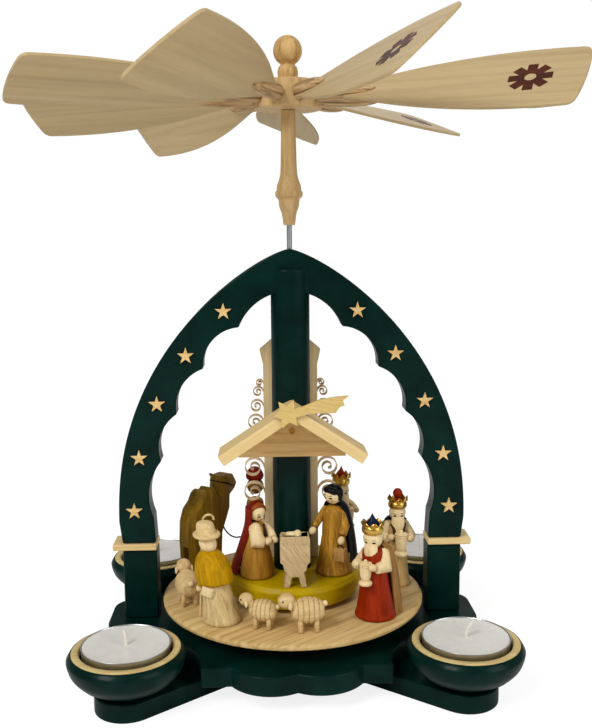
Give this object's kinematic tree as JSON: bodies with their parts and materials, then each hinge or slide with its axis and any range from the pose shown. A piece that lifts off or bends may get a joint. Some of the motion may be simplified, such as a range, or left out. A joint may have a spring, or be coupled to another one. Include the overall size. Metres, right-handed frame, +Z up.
{
  "type": "candle carousel",
  "caption": "Wooden candle carousel: pitched blades turn a rod and a figure plate inside a scalloped arch above tealight bowls.",
  "frame": {"origin": "on the rod's axis, at the level of the table that the base arms stand on", "axes": "+Z up along the rod, the front with the house gable faces -Y, +X to the right seen from the front"},
  "size_m": [0.2501, 0.2491, 0.2835],
  "materials": {
    "green_lacquered_wood": "dark green gloss lacquer",
    "pale_maple": "clear satin oil",
    "oiled_beech": "clear satin oil",
    "blade_basswood": "untreated, sanded",
    "striped_ash": "clear satin oil",
    "olive_yellow_stain": "stained, satin",
    "walnut_brown_stain": "stained, satin",
    "dark_red_stain": "stained, satin",
    "ochre_stain": "stained, satin",
    "olive_brown_stain": "stained, carved",
    "bright_steel": "bright drawn",
    "brass": "turned",
    "tealight_aluminium": "pressed foil cup, bright",
    "dark_string": "twisted thread"
  },
  "bodies": {
    "frame": {"base_arm_left_front": "green_lacquered_wood", "base_arm_right_front": "green_lacquered_wood", "base_board": "green_lacquered_wood", "lower_post_left": "green_lacquered_wood", "lower_post_right": "green_lacquered_wood", "arch": "green_lacquered_wood", "column": "green_lacquered_wood", "bowl_front_left": "green_lacquered_wood", "bowl_front_right": "green_lacquered_wood", "bowl_rear_left": "green_lacquered_wood", "bowl_rear_right": "green_lacquered_wood", "trim_plate_left": "pale_maple", "trim_plate_right": "pale_maple", "backboard": "pale_maple", "roof_board_left": "pale_maple", "roof_board_right": "pale_maple", "comet_star": "pale_maple", "manger": "pale_maple", "child": "pale_maple", "rim_ring_front_left": "pale_maple", "rim_ring_front_right": "pale_maple", "rim_ring_rear_left": "pale_maple", "rim_ring_rear_right": "pale_maple", "gable": "oiled_beech", "stage": "olive_yellow_stain", "gable_peg": "walnut_brown_stain", "mother_figure": "walnut_brown_stain", "father_figure": "walnut_brown_stain", "bearing_cup": "brass", "guide_bush": "brass"},
    "rotor": {"rod": "bright_steel", "plate_boss": "oiled_beech", "figure_plate": "striped_ash", "spindle": "oiled_beech", "hub": "oiled_beech", "finial": "oiled_beech", "shepherd": "ochre_stain", "sheep_1": "pale_maple", "sheep_2": "pale_maple", "sheep_3": "pale_maple", "king_front": "dark_red_stain", "king_right": "pale_maple", "king_rear": "dark_red_stain", "camel": "olive_brown_stain", "camel_driver": "ochre_stain", "lead_string": "dark_string"},
    "blade_body_1": {"blade_1": "blade_basswood"},
    "blade_body_2": {"blade_2": "blade_basswood"},
    "blade_body_3": {"blade_3": "blade_basswood"},
    "blade_body_4": {"blade_4": "blade_basswood"},
    "blade_body_5": {"blade_5": "blade_basswood"},
    "blade_body_6": {"blade_6": "blade_basswood"},
    "blade_body_7": {"blade_7": "blade_basswood"},
    "blade_body_8": {"blade_8": "blade_basswood"},
    "blade_body_9": {"blade_9": "blade_basswood"},
    "candle_front_left": {"tealight_front_left": "tealight_aluminium"},
    "candle_front_right": {"tealight_front_right": "tealight_aluminium"},
    "candle_rear_left": {"tealight_rear_left": "tealight_aluminium"},
    "candle_rear_right": {"tealight_rear_right": "tealight_aluminium"}
  },
  "joints": [
    {"name": "wheel_turn", "type": "hinge", "parent": "frame", "child": "rotor", "pos_m": [0, 0, 0.0142], "axis": [0, 0, 1], "continuous": true},
    {"name": "blade_pitch_1", "type": "hinge", "parent": "rotor", "child": "blade_body_1", "pos_m": [0, 0, 0.2574], "axis": [0.8485, -0.5281, -0.0349], "range_deg": [-41.8, 18.2]},
    {"name": "blade_pitch_2", "type": "hinge", "parent": "rotor", "child": "blade_body_2", "pos_m": [0, 0, 0.2574], "axis": [0.3105, -0.9499, -0.0349], "range_deg": [-41.5, 18.5]},
    {"name": "blade_pitch_3", "type": "hinge", "parent": "rotor", "child": "blade_body_3", "pos_m": [0, 0, 0.2574], "axis": [-0.3728, -0.9273, -0.0349], "range_deg": [-32.5, 27.5]},
    {"name": "blade_pitch_4", "type": "hinge", "parent": "rotor", "child": "blade_body_4", "pos_m": [0, 0, 0.2574], "axis": [-0.8816, -0.4707, -0.0349], "range_deg": [-20, 40]},
    {"name": "blade_pitch_5", "type": "hinge", "parent": "rotor", "child": "blade_body_5", "pos_m": [0, 0, 0.2574], "axis": [-0.9779, 0.2061, -0.0349], "range_deg": [-34.2, 25.8]},
    {"name": "blade_pitch_6", "type": "hinge", "parent": "rotor", "child": "blade_body_6", "pos_m": [0, 0, 0.2574], "axis": [-0.6167, 0.7865, -0.0349], "range_deg": [-57.6, 2.4]},
    {"name": "blade_pitch_7", "type": "hinge", "parent": "rotor", "child": "blade_body_7", "pos_m": [0, 0, 0.2574], "axis": [0.0331, 0.9988, -0.0349], "range_deg": [-21.8, 38.2]},
    {"name": "blade_pitch_8", "type": "hinge", "parent": "rotor", "child": "blade_body_8", "pos_m": [0, 0, 0.2574], "axis": [0.6674, 0.7439, -0.0349], "range_deg": [-25.9, 34.1]},
    {"name": "blade_pitch_9", "type": "hinge", "parent": "rotor", "child": "blade_body_9", "pos_m": [0, 0, 0.2574], "axis": [0.9894, 0.1408, -0.0349], "range_deg": [-5, 55]},
    {"name": "lift_front_left", "type": "slide", "parent": "frame", "child": "candle_front_left", "axis": [0, 0, 1], "range_m": [0, 0.03]},
    {"name": "lift_front_right", "type": "slide", "parent": "frame", "child": "candle_front_right", "axis": [0, 0, 1], "range_m": [0, 0.03]},
    {"name": "lift_rear_left", "type": "slide", "parent": "frame", "child": "candle_rear_left", "axis": [0, 0, 1], "range_m": [0, 0.03]},
    {"name": "lift_rear_right", "type": "slide", "parent": "frame", "child": "candle_rear_right", "axis": [0, 0, 1], "range_m": [0, 0.03]}
  ]
}
